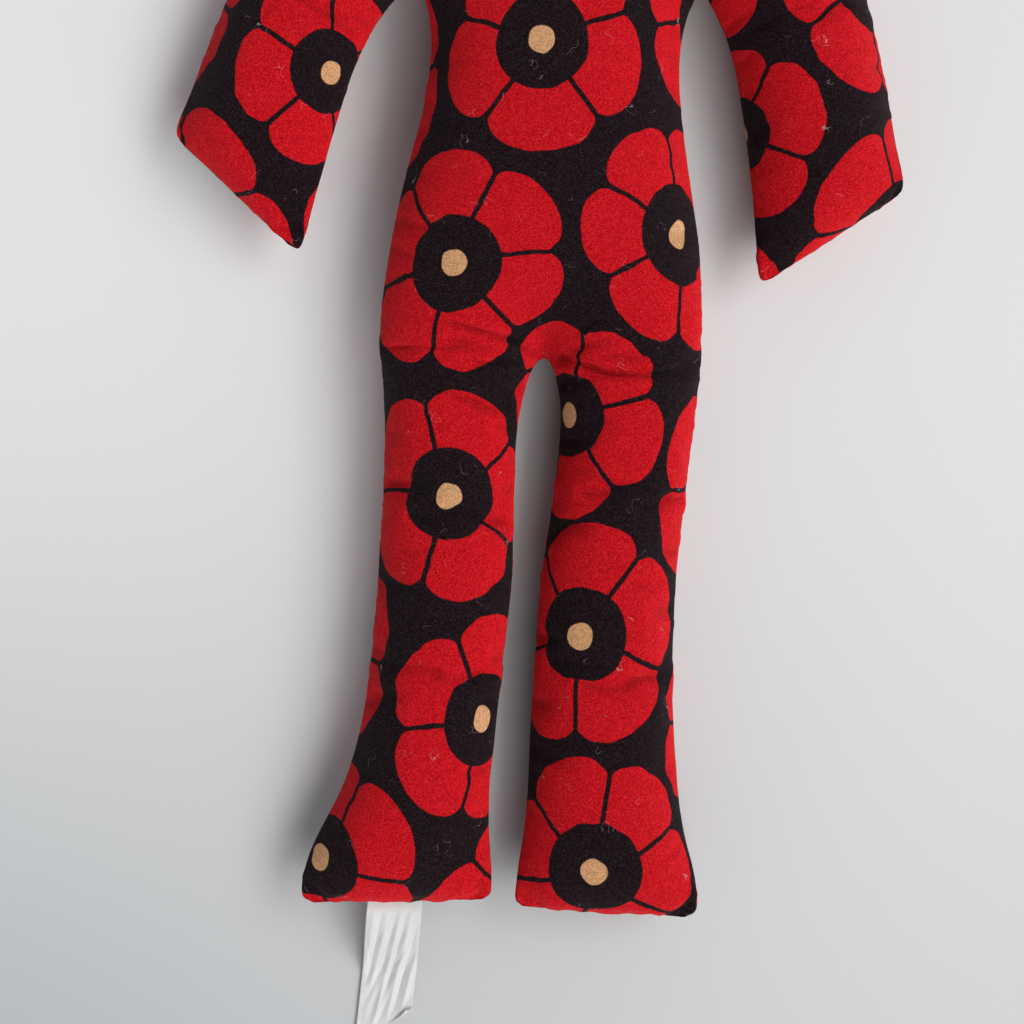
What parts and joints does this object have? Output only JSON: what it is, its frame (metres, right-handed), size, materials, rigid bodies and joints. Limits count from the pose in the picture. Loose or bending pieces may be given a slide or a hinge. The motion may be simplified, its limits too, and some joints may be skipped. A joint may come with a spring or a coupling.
{
  "type": "stress doll",
  "caption": "Soft stuffed cloth doll with plain head, mitten arms and flared feet, printed with large blossoms, for squeezing, lying on its back.",
  "frame": {"origin": "on the flattened middle of the back, half way up the doll, level with the surface it lies on", "axes": "+Y from the soles to the crown, +Z away from the surface towards the doll's front, +X to the doll's left hand"},
  "size_m": [0.1614, 0.3387, 0.0371],
  "materials": {
    "printed_cotton": "plain-woven cotton printed in red on near-black",
    "polyester_fibre": "loose white fibre",
    "satin": "white satin ribbon, crumpled"
  },
  "bodies": {
    "root": {"front_panel": "printed_cotton", "back_panel": "printed_cotton", "stuffing": "polyester_fibre", "care_label": "satin"}
  },
  "joints": []
}
